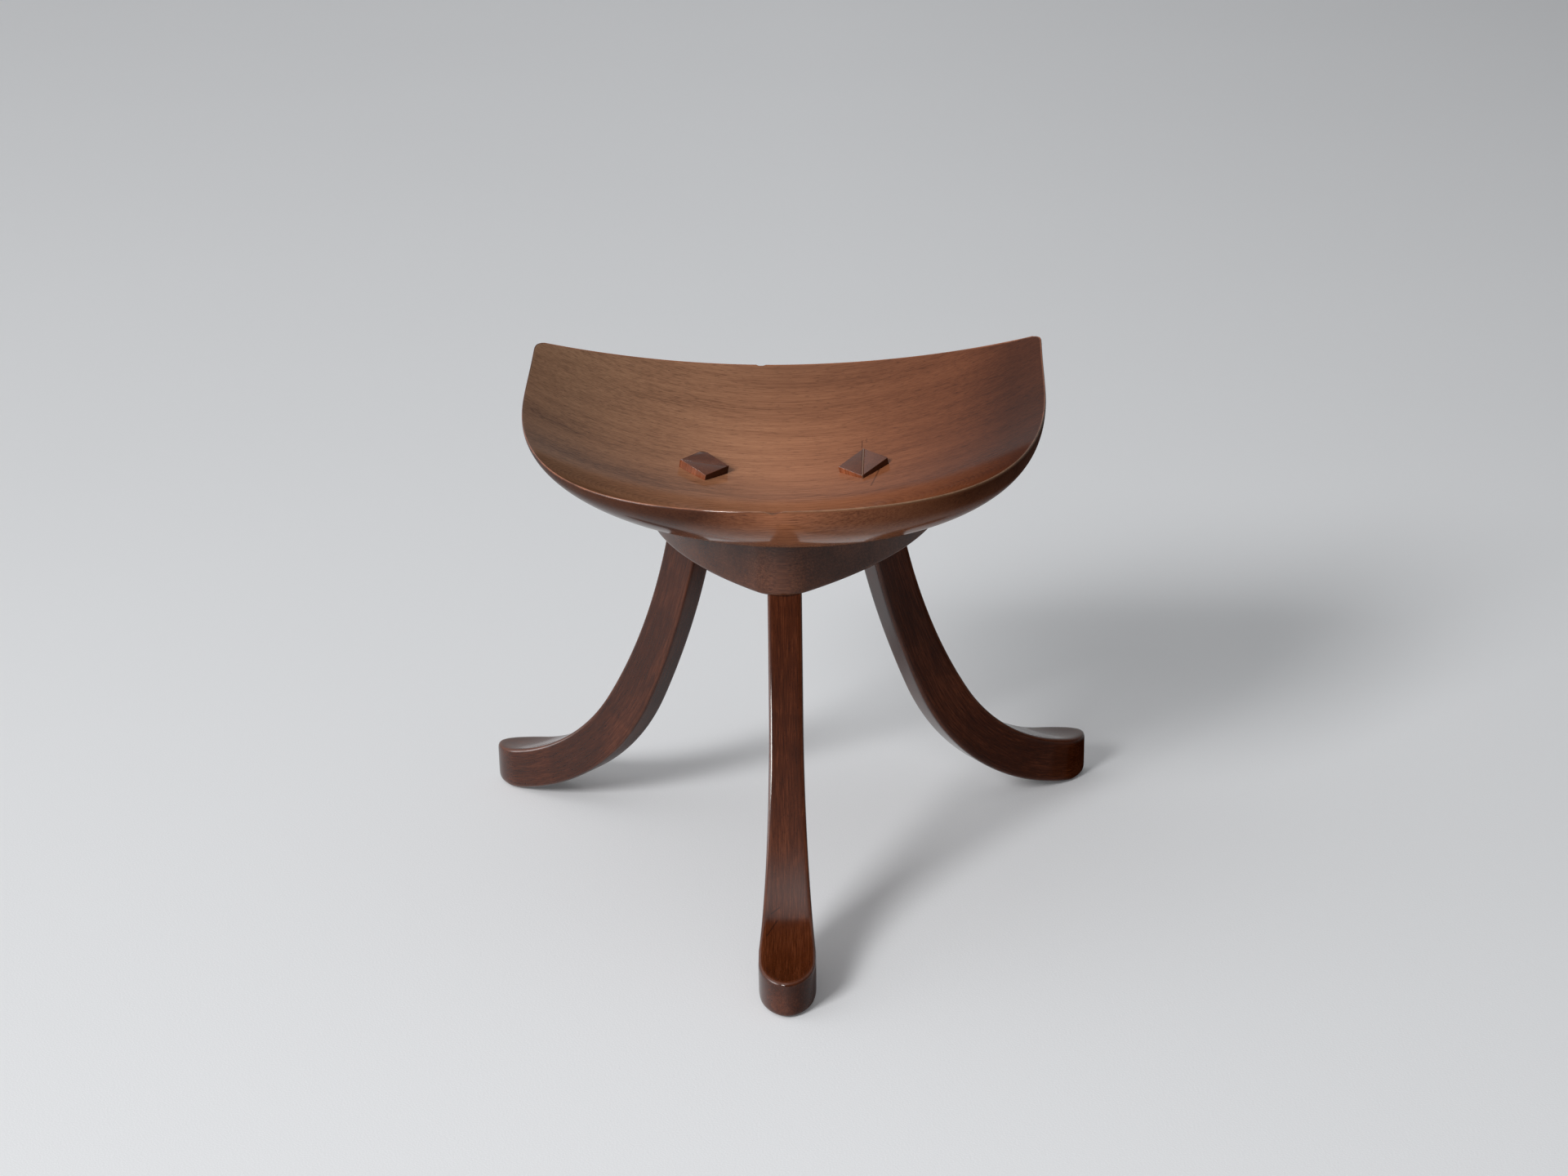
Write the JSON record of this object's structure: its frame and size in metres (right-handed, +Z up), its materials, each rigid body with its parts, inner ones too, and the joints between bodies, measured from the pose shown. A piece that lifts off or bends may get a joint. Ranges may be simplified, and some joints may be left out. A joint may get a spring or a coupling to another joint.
{
  "type": "stool",
  "caption": "Low wooden stool with a dished seat raised at its back corners, swept splayed legs with flared feet, and wedged tenons showing through the seat.",
  "frame": {"origin": "on the floor, at the middle of the box round the whole stool", "axes": "+Z up, +X to the right and -Y towards the viewer as seen from the front, where the single front leg stands"},
  "size_m": [0.443, 0.4532, 0.3463],
  "materials": {
    "seat_wood": "polished",
    "block_wood": "polished",
    "leg_wood": "polished",
    "wedge_wood": "polished"
  },
  "bodies": {
    "root": {"seat": "seat_wood", "leg_block": "block_wood", "leg_front": "leg_wood", "leg_left": "leg_wood", "leg_right": "leg_wood", "wedge_front": "wedge_wood", "wedge_left": "wedge_wood", "wedge_right": "wedge_wood"}
  },
  "joints": []
}
